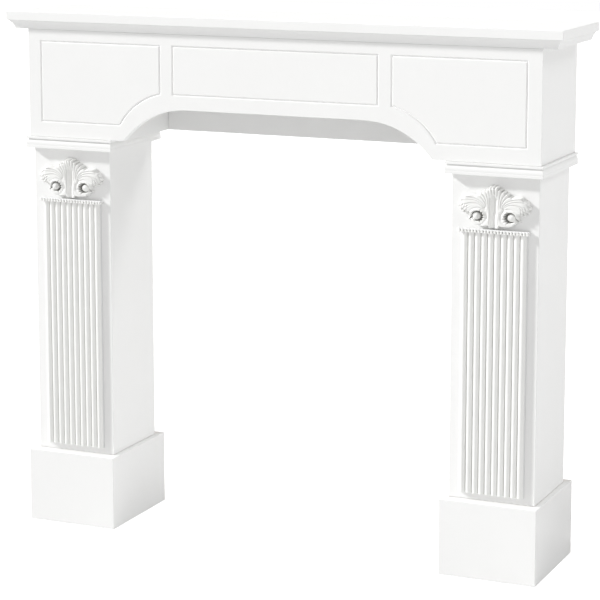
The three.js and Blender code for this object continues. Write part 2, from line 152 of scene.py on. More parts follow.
def makeFibreboard(name, look):
    material, tree = newMaterial(name)
    coords = addNode(tree, "ShaderNodeTexCoord").outputs["Object"]
    stretched = addNode(tree, "ShaderNodeMapping", {"Scale": (0.5, 1.0, 1.0)}, {"Vector": coords})
    fibre = noiseOf(tree, stretched.outputs[0], look["fibreMm"], 4.0)
    cloud = noiseOf(tree, coords, look["cloudMm"])
    tone = addNode(tree, "ShaderNodeMath", {"operation": "MULTIPLY"},
                   {0: fibre.outputs[0], 1: cloud.outputs[0]})
    amount = spread(tree, tone.outputs[0], 0, look["toneReach"])
    colour = blendColours(tree, amount, look["light"], look["dark"])
    bump = addNode(tree, "ShaderNodeBump", {"Strength": 0.8, "Distance": look["depthMm"] * mm},
                   {"Height": fibre.outputs[0]})
    shader = addNode(tree, "ShaderNodeBsdfPrincipled", {"Roughness": 0.88, "Specular IOR Level": 0.2},
                     {"Base Color": colour, "Normal": bump.outputs[0]})
    addNode(tree, "ShaderNodeOutputMaterial", {}, {"Surface": shader.outputs[0]})
    return material


# Grey of the painted shade put into the leaf's eye hollows, veins and strokes.
paintedShadeGrey = "#77756f"
paint = makePaint("satin_lacquer_on_board", paintLook)
ornamentPaint = makePaint("satin_lacquer_on_ornament", ornamentLook)
leafPaint = makePaint("satin_lacquer_on_leaf", ornamentLook, paintedShadeGrey)
fibreboard = makeFibreboard("bare_fibreboard", fibreLook)
print("stage materials done")


# Mesh helpers

def nodeBox(node):
    low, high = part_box(node)
    return Vector(low), Vector(high)


def newObject(name, mesh):
    piece = bpy.data.objects.new(name, mesh)
    bpy.context.scene.collection.objects.link(piece)
    return piece


def meshOf(name, build):
    build.normal_update()
    mesh = bpy.data.meshes.new(name)
    build.to_mesh(mesh)
    build.free()
    return mesh


# Applies the modifiers of a piece and leaves it a plain mesh.
def settle(piece):
    graph = bpy.context.evaluated_depsgraph_get()
    graph.update()
    mesh = bpy.data.meshes.new_from_object(piece.evaluated_get(graph))
    mesh.name = piece.name
    piece.modifiers.clear()
    piece.data = mesh
    return piece


# Rounds the arrises and keeps the flat faces flat in the shading.
def roundArrises(piece, radius, segments=3, angle=28):
    bevel = piece.modifiers.new("arris", "BEVEL")
    bevel.width = radius
    bevel.segments = segments
    bevel.limit_method = "ANGLE"
    bevel.angle_limit = math.radians(angle)
    bevel.harden_normals = True
    bevel.use_clamp_overlap = True
    return settle(piece)


def finishPiece(piece, nodes):
    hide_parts(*nodes)
    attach(piece, "root")


# Paints a casing, and leaves bare the faces that a test on a face's centre and normal says are hidden.
def paintCasing(piece, isBare):
    piece.data.materials.clear()
    piece.data.materials.append(paint)
    piece.data.materials.append(fibreboard)
    for face in piece.data.polygons:
        face.material_index = 1 if isBare(face.center, face.normal) else 0


# The mesh of a CAD node as a bmesh, with its shared corners joined.
def joinedNode(node):
    build = bmesh.new()
    build.from_mesh(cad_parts[node].data)
    bmesh.ops.remove_doubles(build, verts=build.verts, dist=1e-6)
    return build


def dissolveFlat(build, flatDegrees=0.6):
    bmesh.ops.dissolve_limit(build, angle_limit=math.radians(flatDegrees), verts=build.verts,
                             edges=build.edges)
    bmesh.ops.recalc_face_normals(build, faces=build.faces)


# Extrudes a face into a closed solid.
def extrudeFace(build, face, way):
    grown = bmesh.ops.extrude_face_region(build, geom=[face])
    moved = [part for part in grown["geom"] if isinstance(part, bmesh.types.BMVert)]
    bmesh.ops.translate(build, vec=way, verts=moved)
    bmesh.ops.recalc_face_normals(build, faces=build.faces)


# Plinth and shaft casings

casing = {"arrisMm": 1.1}


# The box round the boards of a casing, and the thickness of its front board, which is named first.
def casingBox(nodes):
    boxes = [nodeBox(node) for node in nodes]
    low = Vector([min(box[0][i] for box in boxes) for i in range(3)])
    high = Vector([max(box[1][i] for box in boxes) for i in range(3)])
    return low, high, boxes[0][1].y - boxes[0][0].y


def makePlinth(side):
    nodes = [f"plinth_{part}_{side}" for part in ("front", "outer", "inner", "top")]
    low, high, board = casingBox(nodes)
    innerLow = low + Vector((board, board, 0))
    innerHigh = Vector((high.x - board, high.y, high.z - board))
    build = bmesh.new()

    def cornersOf(first, last):
        return [[[build.verts.new((x, y, z)) for z in (first.z, last.z)] for y in (first.y, last.y)]
                for x in (first.x, last.x)]

    outer = cornersOf(low, high)
    inner = cornersOf(innerLow, innerHigh)
    for ring in (outer, inner):
        for x in (0, 1):
            build.faces.new([ring[x][0][0], ring[x][1][0], ring[x][1][1], ring[x][0][1]])
        build.faces.new([ring[0][0][0], ring[1][0][0], ring[1][0][1], ring[0][0][1]])
        build.faces.new([ring[0][0][1], ring[1][0][1], ring[1][1][1], ring[0][1][1]])
    build.faces.new([outer[0][0][0], outer[0][1][0], inner[0][1][0], inner[0][0][0],
                     inner[1][0][0], inner[1][1][0], outer[1][1][0], outer[1][0][0]])
    build.faces.new([outer[0][1][0], outer[0][1][1], outer[1][1][1], outer[1][1][0],
                     inner[1][1][0], inner[1][1][1], inner[0][1][1], inner[0][1][0]])
    bmesh.ops.recalc_face_normals(build, faces=build.faces)
    piece = newObject(f"plinth_casing_{side}", meshOf(f"plinth_casing_{side}", build))
    roundArrises(piece, casing["arrisMm"] * mm)

    def isBare(centre, normal):
        inside = innerLow.x - mm < centre.x < innerHigh.x + mm and centre.z < innerHigh.z + mm
        return (inside and centre.y > innerLow.y - mm) or normal.y > facing or normal.z < -facing

    paintCasing(piece, isBare)
    finishPiece(piece, nodes)


def makeShaft(side):
    nodes = [f"shaft_{part}_{side}" for part in ("front", "outer", "inner")]
    low, high, board = casingBox(nodes)
    section = [(low.x, low.y), (high.x, low.y), (high.x, high.y), (high.x - board, high.y),
               (high.x - board, low.y + board), (low.x + board, low.y + board), (low.x + board, high.y),
               (low.x, high.y)]
    build = bmesh.new()
    foot = build.faces.new([build.verts.new((x, y, low.z)) for x, y in section])
    extrudeFace(build, foot, (0, 0, high.z - low.z))
    piece = newObject(f"shaft_casing_{side}", meshOf(f"shaft_casing_{side}", build))
    roundArrises(piece, casing["arrisMm"] * mm)

    def isBare(centre, normal):
        inside = low.x + board - mm < centre.x < high.x - board + mm and centre.y > low.y + board - mm
        return inside or abs(normal.z) > facing or normal.y > facing

    paintCasing(piece, isBare)
    finishPiece(piece, nodes)


for side in sides:
    makePlinth(side)
    makeShaft(side)
print("stage leg casings done")


# Frieze casing: the front board and both ends under one coat of paint, so that the mitres don't show.
# Its glue line is closed by moving the ends forward, and the mitred faces inside it are taken out.

frieze = {"arrisMm": 0.7, "joinMm": 0.02, "bareFromMm": 10}
mitreShare = math.sqrt(0.5)


def makeFrieze():
    nodes = ["frieze_front", "frieze_end_left", "frieze_end_right"]
    frontLow, frontHigh = nodeBox("frieze_front")
    slack = nodeBox("frieze_end_left")[0].y - frontLow.y
    build = bmesh.new()
    for node in nodes[1:]:
        build.from_mesh(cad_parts[node].data)
    for vertex in build.verts:
        if vertex.co.y < frontHigh.y + 2 * slack:
            vertex.co.y -= slack
    build.from_mesh(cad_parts["frieze_front"].data)
    bmesh.ops.remove_doubles(build, verts=build.verts, dist=frieze["joinMm"] * mm)
    build.normal_update()
    board = frontHigh.y - frontLow.y

    def isMitre(face):
        turned = abs(face.normal.z) < 0.01 and abs(abs(face.normal.x) - mitreShare) < 0.02
        return turned and abs(face.calc_center_median().x) > frontHigh.x - board

    bmesh.ops.delete(build, geom=[face for face in build.faces if isMitre(face)], context="FACES")
    bmesh.ops.remove_doubles(build, verts=build.verts, dist=frieze["joinMm"] * mm)
    dissolveFlat(build)
    piece = newObject("frieze_casing", meshOf("frieze_casing", build))
    roundArrises(piece, frieze["arrisMm"] * mm, 2)

    def isBare(centre, normal):
        return normal.y > facing and centre.y > frontHigh.y + frieze["bareFromMm"] * mm

    paintCasing(piece, isBare)
    finishPiece(piece, nodes)


makeFrieze()


# The other flat boards of the frieze box, and the shelf: the way the bare face looks, and the arris in mm.

boards = {
    "frieze_back": ((0, 1, 0), 0.5),
    "frieze_cheek_left": ((-1, 0, 0), 0.5),
    "frieze_cheek_right": ((1, 0, 0), 0.5),
    "frieze_soffit_left": ((0, 0, 1), 0.5),
    "frieze_soffit_right": ((0, 0, 1), 0.5),
    "shelf": ((0, 1, 0), 1.2),
}


def makeBoard(node, bareWay, arrisMm):
    build = joinedNode(node)
    dissolveFlat(build)
    piece = newObject(f"{node}_board", meshOf(f"{node}_board", build))
    roundArrises(piece, arrisMm * mm)
    paintCasing(piece, lambda centre, normal: normal.dot(Vector(bareWay)) > facing)
    finishPiece(piece, [node])


for node, (bareWay, arrisMm) in boards.items():
    makeBoard(node, bareWay, arrisMm)
print("stage frieze and shelf done")


# Mouldings: a profile of insets and heights, swept round the front and both sides of a block.

def sweepProfile(name, low, high, profile):
    build = bmesh.new()
    rings = []
    for inset, height in profile:
        corners = [(low.x + inset, low.y + inset), (high.x - inset, low.y + inset), (high.x - inset, high.y),
                   (low.x + inset, high.y)]
        rings.append([build.verts.new((x, y, low.z + height)) for x, y in corners])
    for first, second in zip(rings, rings[1:]):
        for i in range(4):
            j = (i + 1) % 4
            build.faces.new([first[i], first[j], second[j], second[i]])
    build.faces.new(rings[0][::-1])
    build.faces.new(rings[-1])
    bmesh.ops.recalc_face_normals(build, faces=build.faces)
    return newObject(name, meshOf(name, build))


# Points on an arc from one point to another. A positive rise bows it away from the block's middle.
def arcPoints(start, end, rise, count=16):
    start, end = Vector(start), Vector(end)
    chord = end - start
    half = chord.length / 2
    radius = (half * half + rise * rise) / (2 * abs(rise))
    across = Vector((-chord.y, chord.x)).normalized() * math.copysign(1, rise)
    centre = (start + end) / 2 + across * (abs(rise) - radius)
    halfAngle = math.asin(min(1, half / radius))
    points = []
    for i in range(count + 1):
        angle = -halfAngle + 2 * halfAngle * i / count
        outwards = across * radius * math.cos(angle)
        points.append(centre + outwards + chord.normalized() * radius * math.sin(angle))
    return [(p.x, p.y) for p in points]


# The faces of a moulding that stand against the wall are bare.
def facesWall(centre, normal):
    return normal.y > facing


capital = {
    "footMm": 5.6, "hollowFromMm": (0.8, 0.4), "hollowMm": 4.6, "bowMm": 1.9, "filletMm": 4.8,
    "arrisMm": 0.5,
}


def makeCapital(side):
    node = f"capital_moulding_{side}"
    low, high = nodeBox(node)
    height = high.z - low.z
    foot = capital["footMm"] * mm
    neck = height - capital["filletMm"] * mm
    inset, above = capital["hollowFromMm"]
    start = (inset * mm, foot + above * mm)
    hollow = arcPoints(start, (capital["hollowMm"] * mm, neck), capital["bowMm"] * mm)
    profile = [(0, 0), (0, foot), *hollow, (0, neck), (0, height)]
    piece = sweepProfile(f"capital_{side}", low, high, profile)
    roundArrises(piece, capital["arrisMm"] * mm, 2)
    paintCasing(piece, facesWall)
    finishPiece(piece, [node])


bed = {"lipMm": 3.5, "footMm": 14.5, "bowMm": -2.2, "arrisMm": 0.35}


def makeBed():
    low, high = nodeBox("bed_moulding")
    outLow = Vector((low.x - bed["lipMm"] * mm, low.y - bed["lipMm"] * mm, low.z))
    outHigh = Vector((high.x + bed["lipMm"] * mm, high.y, high.z))
    profile = arcPoints((bed["footMm"] * mm, 0), (bed["lipMm"] * mm, high.z - low.z), bed["bowMm"] * mm)
    piece = sweepProfile("bed_mould", outLow, outHigh, profile)
    roundArrises(piece, bed["arrisMm"] * mm, 2)
    paintCasing(piece, facesWall)
    finishPiece(piece, ["bed_moulding"])


for side in sides:
    makeCapital(side)
makeBed()
print("stage mouldings done")


# Repeats a piece along X. The piece stands at the first place.

def makeRepeatTree():
    tree = bpy.data.node_groups.new("repeat_along", "GeometryNodeTree")
    tree.interface.new_socket("Geometry", in_out="INPUT", socket_type="NodeSocketGeometry")
    tree.interface.new_socket("Count", in_out="INPUT", socket_type="NodeSocketInt")
    tree.interface.new_socket("Pitch", in_out="INPUT", socket_type="NodeSocketFloat")
    tree.interface.new_socket("Finish", in_out="INPUT", socket_type="NodeSocketMaterial")
    tree.interface.new_socket("Geometry", in_out="OUTPUT", socket_type="NodeSocketGeometry")
    source = addNode(tree, "NodeGroupInput")
    offset = addNode(tree, "ShaderNodeCombineXYZ", {}, {"X": source.outputs["Pitch"]})
    line = addNode(tree, "GeometryNodeMeshLine", {},
                   {"Count": source.outputs["Count"], "Offset": offset.outputs[0]})
    copies = addNode(tree, "GeometryNodeInstanceOnPoints", {},
                     {"Points": line.outputs[0], "Instance": source.outputs["Geometry"]})
    real = addNode(tree, "GeometryNodeRealizeInstances", {}, {"Geometry": copies.outputs[0]})
    finish = addNode(tree, "GeometryNodeSetMaterial", {},
                     {"Geometry": real.outputs[0], "Material": source.outputs["Finish"]})
    addNode(tree, "NodeGroupOutput", {}, {"Geometry": finish.outputs[0]})
    return tree


repeatTree = makeRepeatTree()


def repeatAlong(piece, count, pitch, finish):
    modifier = piece.modifiers.new("repeat", "NODES")
    modifier.node_group = repeatTree
    values = {"Count": count, "Pitch": pitch, "Finish": finish}
    for item in repeatTree.interface.items_tree:
        if item.in_out == "INPUT" and item.name in values:
            modifier[item.identifier] = values[item.name]
    return settle(piece)


# Adds the mesh of one piece to another and removes the first.
def absorb(piece, other):
    build = bmesh.new()
    build.from_mesh(piece.data)
    build.from_mesh(other.data)
    build.to_mesh(piece.data)
    build.free()
    bpy.data.objects.remove(other)


# A box with rounded arrises, for the backing of the reeds and the bar over the beads.
def roundedBox(name, low, high, radius):
    build = bmesh.new()
    bmesh.ops.create_cube(build, size=1)
    for vertex in build.verts:
        vertex.co = Vector([(low[i] + high[i]) / 2 + vertex.co[i] * (high[i] - low[i]) for i in range(3)])
    piece = newObject(name, meshOf(name, build))
    return roundArrises(piece, radius, 2)


# Reeded panels: half-round reeds whose ends are cut square and eased by the paint.

reeds = {
    "count": 10, "marginMm": 1.25, "backingMm": 2.7, "backingRoundMm": 0.3, "arcSteps": 22,
    "dipMm": 0.15, "sinkMm": 0.2, "sharpDegrees": 35,
    "endMm": 0.9, "endShares": ((0, 0.9), (0.35, 0.97), (1, 1.0)),
}


def makeReeds(side):
    node = f"reeded_panel_{side}"
    low, high = nodeBox(node)
    backing = high.y - reeds["backingMm"] * mm
    pitch = (high.x - low.x - 2 * reeds["marginMm"] * mm) / reeds["count"]
    half = pitch / 2 - reeds["dipMm"] * mm
    rise = backing - low.y
    centreX = low.x + reeds["marginMm"] * mm + pitch / 2
    end = reeds["endMm"] * mm
    sink = reeds["sinkMm"] * mm
    levels = [(low.z + at * end, share) for at, share in reeds["endShares"]] + [(high.z, 1.0)]
    build = bmesh.new()
    rows = []
    for level, share in levels:
        row = []
        for i in range(reeds["arcSteps"] + 1):
            angle = math.pi * i / reeds["arcSteps"]
            x = centreX - half * share * math.cos(angle)
            y = backing + sink - (rise + sink) * share * math.sin(angle)
            row.append(build.verts.new((x, y, level)))
        rows.append(row)
    for first, second in zip(rows, rows[1:]):
        for i in range(reeds["arcSteps"]):
            build.faces.new([first[i], first[i + 1], second[i + 1], second[i]])
        build.faces.new([first[-1], first[0], second[0], second[-1]])
    build.faces.new(rows[0][::-1])
    build.faces.new(rows[-1])
    bmesh.ops.recalc_face_normals(build, faces=build.faces)
    mesh = meshOf(f"reeds_{side}", build)
    mesh.shade_smooth()
    mesh.set_sharp_from_angle(angle=math.radians(reeds["sharpDegrees"]))
    piece = repeatAlong(newObject(f"reeds_{side}", mesh), reeds["count"], pitch, ornamentPaint)
    backingRound = reeds["backingRoundMm"] * mm
    absorb(piece, roundedBox("backing", (low.x, backing, low.z), tuple(high), backingRound))
    finishPiece(piece, [node])


# Beaded strips: a small rounded bar, and a row of round-ended beads that hang from it.

beads = {
    "count": 22, "widthMm": 4.5, "endInsetMm": 3.0, "topInsetMm": 0.8, "dropMm": 1.4, "proudMm": 1.6,
    "roundMm": 0.8, "roundSteps": 3, "roundFromDegrees": 40, "arcSteps": 12,
    "barMm": 3.0, "barStepMm": 0.4, "barRoundMm": 1.2,
}


def makeBeads(side):
    node = f"beaded_strip_{side}"
    low, high = nodeBox(node)
    split = high.z - beads["barMm"] * mm
    front = low.y - beads["proudMm"] * mm
    half = beads["widthMm"] * mm / 2
    pitch = (high.x - low.x - 2 * beads["endInsetMm"] * mm) / (beads["count"] - 1)
    centreX = low.x + beads["endInsetMm"] * mm
    centreZ = low.z - beads["dropMm"] * mm + half
    top = high.z - beads["topInsetMm"] * mm
    outline = [(centreX + half, top), (centreX - half, top)]
    for i in range(beads["arcSteps"] + 1):
        angle = math.pi * (1 + i / beads["arcSteps"])
        outline.append((centreX + half * math.cos(angle), centreZ + half * math.sin(angle)))
    build = bmesh.new()
    face = build.faces.new([build.verts.new((x, front, z)) for x, z in outline])
    extrudeFace(build, face, (0, high.y - front, 0))
    bead = newObject(f"beads_{side}", meshOf(f"beads_{side}", build))
    roundArrises(bead, beads["roundMm"] * mm, beads["roundSteps"], beads["roundFromDegrees"])
    bead.data.shade_smooth()
    piece = repeatAlong(bead, beads["count"], pitch, ornamentPaint)
    barLow = (low.x, front + beads["barStepMm"] * mm, split)
    absorb(piece, roundedBox("bar", barLow, tuple(high), beads["barRoundMm"] * mm))
    finishPiece(piece, [node])


for side in sides:
    makeReeds(side)
    makeBeads(side)
print("stage reeds and beads done")


# Leaf ornament: heights in mm over a drawing of the right half, about 76 wide and 85 high, mirrored.
# A lobe is (root, bend, tip, widths). Together the lobes give the outline and the ribs of the blade.
# A fade is the pair of places between which a form comes in or goes out.

leaf = {
    "gridX": (0, 80), "gridZ": (-3, 89), "stepMm": 0.5, "blurMm": 0.35, "edgeMm": 0.4,
    "bladeMm": 12.0, "tipDropMm": 3.0, "tipDropFade": (56, 76),
    "edgeRoundMm": 3.6, "footRoundMm": 1.6, "footRoundFade": (3, 12),
    "ribMm": 2.6, "ribLevel": 0.8, "ribEyeFade": (16, 20), "ribFootFade": (22, 34),
    "crownMm": 5.0, "crownAt": (0, 77), "crownSizeMm": (20, 14),
    "channelMm": 5.4, "channelWidthMm": 4.6, "channelFade": (56, 68),
    "roll": ((36, 61.5), (58, 64), (66, 51)), "rollWidths": (1.6, 1.6), "rollMm": 1.4,
    "veinMm": 0.9, "veinShade": 0.22, "shadeBlurMm": 0.5, "sharpDegrees": 80,
}
fanLobes = [
    ((0, 66), (0, 72), (0, 80.5), (1.6, 3.6)),
    ((5.2, 58), (5.6, 68), (6.8, 79), (1.6, 3.8)),
    ((9.0, 6), (8.4, 54), (13.0, 74.4), (3.4, 3.8)),
    ((11.6, 30), (11.0, 56), (20.0, 70.2), (1.8, 4.0)),
    ((13.6, 32), (13.0, 54), (26.6, 66.0), (1.8, 4.2)),
    ((15.4, 32), (15.0, 51), (33.0, 60.4), (1.8, 4.4)),
]
fingerLobes = [
    ((17, 45), (32, 61), (54, 56.8), (2.2, 7.2)),
    ((18, 43), (38, 60), (65, 50), (2.0, 6.4)),
    ((19, 41.4), (41, 57), (70.5, 41.5), (1.9, 4.6)),
    ((20, 40.2), (43, 54), (68.5, 33.5), (1.8, 3.6)),
    ((21, 39.2), (43, 51), (63.5, 28), (1.7, 2.9)),
    ((22, 38.4), (41, 48.6), (57.5, 26), (1.6, 2.7)),
    ((23, 38), (38.5, 45.8), (51.5, 28), (1.6, 2.5)),
]
pads = [
    ((0, 2), (0, 30), (0, 68), (11, 13)),
    ((12, 9), (22, 5.4), (34, 6.6), (8, 6)),
    ((20, 38), (38, 50), (58, 40), (10, 11)),
    ((14, 48), (28, 56), (46, 54), (8, 8)),
]
# Fine carved lines between the flutes and along the fingers, as (root, bend, tip, half widths).
veins = [
    ((8.6, 5), (8.0, 34), (8.4, 58), (0.8, 1.2)),
    ((2.4, 67), (2.6, 73), (3.2, 80), (0.8, 1.2)),
    ((7.4, 64), (8.6, 72), (10.2, 79), (0.8, 1.2)),
    ((10.4, 36), (10.0, 58), (16.4, 74), (0.9, 1.4)),
    ((14.0, 40), (14.0, 58), (24.6, 68), (0.9, 1.5)),
    ((15.6, 39), (16.4, 56), (33.0, 64), (0.9, 1.6)),
    ((17.4, 39), (22.0, 58), (58.0, 58.6), (0.9, 1.6)),
    ((19.0, 38.5), (28.0, 56), (61.0, 52.4), (0.9, 1.2)),
    ((20.6, 38), (32.0, 52), (57.0, 43), (0.9, 1.2)),
    ((53.4, 42), (56.6, 36), (54.4, 27), (0.9, 1.3)),
    ((57.6, 43), (61.2, 37), (60.6, 27), (0.9, 1.3)),
    ((61.4, 44.4), (65.6, 39), (66.2, 29), (0.9, 1.3)),
    ((62.0, 53.6), (69.0, 50), (71.0, 35), (0.9, 1.4)),
]
# The round part of the blade about the eye, and the point that it ends in.
curl = {"at": (30.5, 20.8), "radius": (20.0, 18.4), "tip": (51.5, 12.8), "tipWidths": (14, 2.0)}
eye = {
    "at": (34.0, 20.2), "radius": (11.0, 10.0), "cornerFrom": (36, 19.8), "corner": (49.4, 13.8),
    "cornerWidths": (8.6, 0.5), "floor": 1.5, "rimStartMm": 0.4, "holeRoundMm": 1.8,
    "teeth": 15, "toothMm": 2.4, "strokeMm": 2.0, "strokeShade": 0.6, "strokeReachMm": 9.5,
    "strokeSideFade": (0.05, 0.5),
    "browRadius": (14.4, 12.96), "browDegrees": (172, 8), "browWidths": (1.6, 2.4), "browMm": 1.6,
    "boss": (35.6, 20.4), "bossRadius": (8.7, 8.2), "bossFoot": 6.0, "bossMm": 7.0,
    "tail": ((38, 17.4), (48.2, 13.2)), "tailWidths": (6.4, 1.2), "tailMm": (11.6, 6.4),
    "shadeFade": (0.5, 4.0),
}


def bezierPoints(root, bend, tip, count=18):
    t = np.linspace(0, 1, count + 1)[:, None]
    root, bend, tip = (np.array(p, float) for p in (root, bend, tip))
    return (1 - t) ** 2 * root + 2 * t * (1 - t) * bend + t ** 2 * tip


def ringPoints(centre, radius, degrees, count=20):
    angle = np.radians(np.linspace(degrees[0], degrees[1], count + 1))
    return np.stack([centre[0] + radius[0] * np.cos(angle), centre[1] + radius[1] * np.sin(angle)], 1)


# A rounded ridge along a line, from 1 on the line to 0 at its width, over all points of the grid.
def ridgeOver(x, z, line, widths):
    best = np.zeros_like(x)
    steps = len(line) - 1
    for i in range(steps):
        a, way = line[i], line[i + 1] - line[i]
        along = np.clip(((x - a[0]) * way[0] + (z - a[1]) * way[1]) / (way @ way), 0, 1)
        distance = np.hypot(x - a[0] - way[0] * along, z - a[1] - way[1] * along)
        width = widths[0] + (widths[1] - widths[0]) * (i + along) / steps
        best = np.maximum(best, np.sqrt(1 - np.clip(distance / width, 0, 1) ** 2))
    return best


def ridgesOver(x, z, lobes):
    best = np.zeros_like(x)
    for root, bend, tip, widths in lobes:
        best = np.maximum(best, ridgeOver(x, z, bezierPoints(root, bend, tip), widths))
    return best


# Distance of each point inside a mask to the mask's edge.
def distanceInside(x, z, inside):
    padded = np.pad(inside, 1, mode="edge")
    core = padded[:-2, 1:-1] & padded[2:, 1:-1] & padded[1:-1, :-2] & padded[1:-1, 2:]
    best = np.full(x.shape, 1e6)
    for row, column in zip(*np.nonzero(inside & ~core)):
        best = np.minimum(best, (x - x[row, column]) ** 2 + (z - z[row, column]) ** 2)
    return np.where(inside, np.sqrt(best), 0)


def roundEdge(distance, radius):
    return np.sqrt(1 - (1 - np.clip(distance / radius, 0, 1)) ** 2)


def smoothStep(value, low, high):
    t = np.clip((value - low) / (high - low), 0, 1)
    return t * t * (3 - 2 * t)


def blurGrid(grid, sigma):
    reach = int(math.ceil(3 * sigma))
    kernel = np.exp(-0.5 * (np.arange(-reach, reach + 1) / sigma) ** 2)
    kernel /= kernel.sum()
    for axis in (0, 1):
        grid = np.apply_along_axis(lambda row: np.convolve(row, kernel, "same"), axis, grid)
    return grid


# Distance from a centre, in shares of a radius along each axis.
def shareOff(x, z, centre, radius):
    return np.hypot((x - centre[0]) / radius[0], (z - centre[1]) / radius[1])


# Small strokes that fan out from the eye on its inner side, from 1 in a stroke to 0 beside it.
def eyeStrokes(x, z):
    angle = np.arctan2(z - eye["at"][1], x - eye["at"][0])
    inner = smoothStep(-np.cos(angle), *eye["strokeSideFade"])
    beyond = (shareOff(x, z, eye["at"], eye["radius"]) - 1) * eye["radius"][0]
    fade = 1 - smoothStep(beyond, 0, eye["strokeReachMm"])
    return inner * fade * np.clip(np.cos(angle * eye["teeth"]), 0, 1)


# The eye's hollow runs to a corner on its outer side, and its inner side is notched with small teeth.
def eyeHollow(x, z):
    notch = eye["toothMm"] / eye["radius"][0] * eyeStrokes(x, z)
    line = np.array([eye["cornerFrom"], eye["corner"]], float)
    inCorner = ridgeOver(x, z, line, eye["cornerWidths"]) > 0
    return (shareOff(x, z, eye["at"], eye["radius"]) < 1 + notch) | inCorner


# The boss in the eye, and the tail that joins it to the rim under the eye's corner.
def bossHeights(x, z):
    ball = np.clip(shareOff(x, z, eye["boss"], eye["bossRadius"]), 0, 1)
    top = np.where(ball < 1, eye["bossFoot"] + eye["bossMm"] * np.sqrt(1 - ball ** 2), 0)
    line = np.array(eye["tail"], float)
    share = np.clip((x - line[0, 0]) / (line[1, 0] - line[0, 0]), 0, 1)
    crest = eye["tailMm"][0] + (eye["tailMm"][1] - eye["tailMm"][0]) * share
    return np.maximum(top, crest * ridgeOver(x, z, line, eye["tailWidths"]))


# Heights of the right half, and how much painted shade each point gets in the eye's hollow, the veins and
# the strokes.
def leafHeights(x, z):
    ribs = np.maximum(ridgesOver(x, z, fanLobes), ridgesOver(x, z, fingerLobes))
    veinLines = ridgesOver(x, z, veins)
    strokes = eyeStrokes(x, z)
    curlTip = ridgeOver(x, z, np.array([curl["at"], curl["tip"]]), curl["tipWidths"]) > 0
    curled = (shareOff(x, z, curl["at"], curl["radius"]) < 1) | curlTip
    outline = (ribs > 0) | (ridgesOver(x, z, pads) > 0) | curled
    hollow = eyeHollow(x, z)
    tall = leaf["bladeMm"] - leaf["tipDropMm"] * smoothStep(x, *leaf["tipDropFade"])
    tall += leaf["crownMm"] * np.exp(-shareOff(x, z, leaf["crownAt"], leaf["crownSizeMm"]) ** 2)
    fromEye = np.hypot(x - eye["at"][0], z - eye["at"][1])
    tall += (leaf["ribMm"] * (ribs - leaf["ribLevel"]) * smoothStep(fromEye, *leaf["ribEyeFade"])
             * smoothStep(x + z, *leaf["ribFootFade"]))
    channelEnd = 1 - smoothStep(z, *leaf["channelFade"])
    tall -= leaf["channelMm"] * np.exp(-(x / leaf["channelWidthMm"]) ** 2) * channelEnd
    tall -= leaf["veinMm"] * veinLines + eye["strokeMm"] * strokes
    tall += leaf["rollMm"] * ridgeOver(x, z, bezierPoints(*leaf["roll"]), leaf["rollWidths"])
    browLine = ringPoints(eye["at"], eye["browRadius"], eye["browDegrees"])
    tall += eye["browMm"] * ridgeOver(x, z, browLine, eye["browWidths"])
    footFade = smoothStep(z, *leaf["footRoundFade"])
    edgeRound = leaf["footRoundMm"] + (leaf["edgeRoundMm"] - leaf["footRoundMm"]) * footFade
    height = tall * roundEdge(distanceInside(x, z, outline), edgeRound)
    away = distanceInside(x, z, outline & ~hollow) + eye["rimStartMm"]
    height = np.where(hollow, eye["floor"], height * roundEdge(away, eye["holeRoundMm"]))
    top = np.maximum(height, bossHeights(x, z))
    # Painted shade: darkest on the low floor of the eye's hollow, fainter along the veins and the strokes.
    shadeAmount = np.where(hollow, 1 - smoothStep(top, *eye["shadeFade"]), 0)
    shadeAmount = np.maximum(shadeAmount, leaf["veinShade"] * veinLines)
    return top, np.maximum(shadeAmount, eye["strokeShade"] * strokes)


